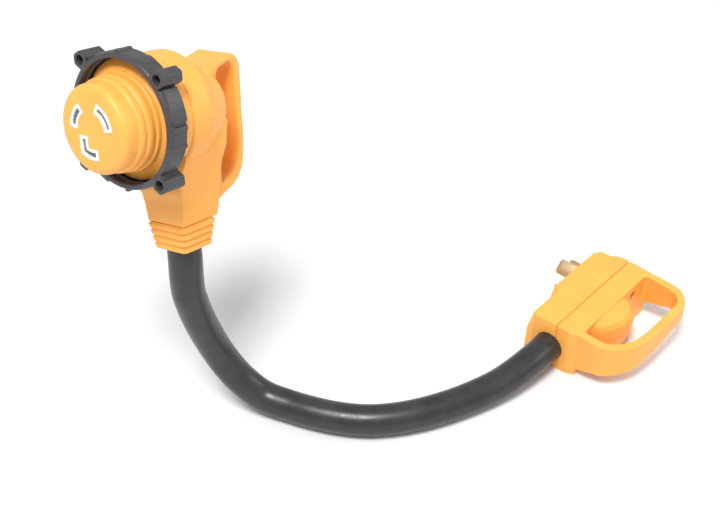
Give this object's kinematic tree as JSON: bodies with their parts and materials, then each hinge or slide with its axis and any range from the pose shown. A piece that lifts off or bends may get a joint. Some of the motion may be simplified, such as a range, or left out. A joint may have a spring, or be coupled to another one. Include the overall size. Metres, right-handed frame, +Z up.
{
  "type": "rv power adapter dogbone",
  "caption": "Short, stiff power adapter cord with a round locking connector head and screw ring at one end and a handled three-prong plug at the other.",
  "frame": {"origin": "on the ground, under the centre of the bounding box of the connector head and the plug together", "axes": "+Z up; +X along the plug from its cord end to its far end; +Y the way the plug's blades point"},
  "size_m": [0.27, 0.2212, 0.2245],
  "materials": {
    "yellow_plastic": "satin moulded yellow-orange",
    "black_plastic": "satin moulded black",
    "carrier_plastic": "matt dark insulating plastic",
    "white_plastic": "matt white plastic",
    "cord_rubber": "smooth black cord jacket",
    "brass": "plain brass",
    "steel": "zinc-plated steel",
    "hot_sleeve": "black insulation",
    "neutral_sleeve": "white insulation",
    "ground_sleeve": "green insulation"
  },
  "bodies": {
    "adapter": {"connector_barrel": "yellow_plastic", "contact_carrier": "carrier_plastic", "cord_jacket": "cord_rubber", "ground_contact": "brass", "ground_head_conductor": "ground_sleeve", "ground_pin": "brass", "ground_slot_liner": "white_plastic", "ground_terminal_screw": "steel", "head_cord_clamp": "carrier_plastic", "head_front_shell": "yellow_plastic", "head_handle_shell": "yellow_plastic", "head_shell_screw_1": "steel", "head_shell_screw_2": "steel", "head_shell_screw_3": "steel", "head_shell_screw_4": "steel", "head_strain_relief": "yellow_plastic", "hot_blade": "brass", "hot_contact": "brass", "hot_head_conductor": "hot_sleeve", "hot_slot_liner": "white_plastic", "hot_terminal_screw": "steel", "neutral_blade": "brass", "neutral_contact": "brass", "neutral_head_conductor": "neutral_sleeve", "neutral_slot_liner": "white_plastic", "neutral_terminal_screw": "steel", "plug_blade_carrier": "carrier_plastic", "plug_cord_clamp": "carrier_plastic", "plug_front_shell": "yellow_plastic", "plug_ground_conductor": "ground_sleeve", "plug_ground_terminal": "steel", "plug_handle_shell": "yellow_plastic", "plug_hot_conductor": "hot_sleeve", "plug_hot_terminal": "steel", "plug_neutral_conductor": "neutral_sleeve", "plug_neutral_terminal": "steel", "plug_shell_screw_1": "steel", "plug_shell_screw_2": "steel", "plug_shell_screw_3": "steel", "plug_shell_screw_4": "steel", "ring_thrust_washer": "carrier_plastic"},
    "ring": {"lock_ring": "black_plastic"}
  },
  "joints": [
    {"name": "lock_ring_turn", "type": "hinge", "parent": "adapter", "child": "ring", "pos_m": [-0.11389, 0.07621, 0.1923], "axis": [-0.9682, -0.049, 0.2453], "continuous": true}
  ]
}
